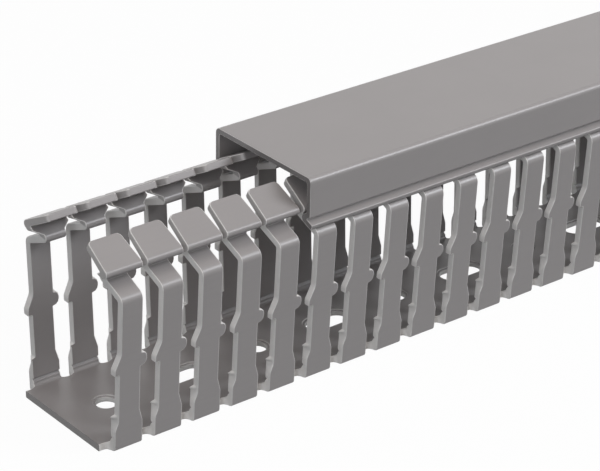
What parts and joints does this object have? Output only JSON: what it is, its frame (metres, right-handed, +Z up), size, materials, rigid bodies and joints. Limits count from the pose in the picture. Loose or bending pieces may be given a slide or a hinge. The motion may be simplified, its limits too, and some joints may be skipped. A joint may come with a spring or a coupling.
{
  "type": "slotted wire duct",
  "caption": "Slotted plastic wiring duct: an open channel with punched side fingers and a base row of holes, and a clip-on cover.",
  "frame": {"origin": "middle of the base's underside at the near sawn end, where the channel stands free of the cover", "axes": "+X along the duct from the near end, +Y across it towards the far wall, +Z up from the base to the cover"},
  "size_m": [0.5, 0.0438, 0.06],
  "materials": {
    "grey_pvc": "satin"
  },
  "bodies": {
    "channel": {"slotted_channel": "grey_pvc"},
    "cover": {"snap_cover": "grey_pvc"}
  },
  "joints": [
    {"name": "cover_slide", "type": "slide", "parent": "channel", "child": "cover", "axis": [1, 0, 0], "range_m": [-0.065, 0.43]}
  ]
}
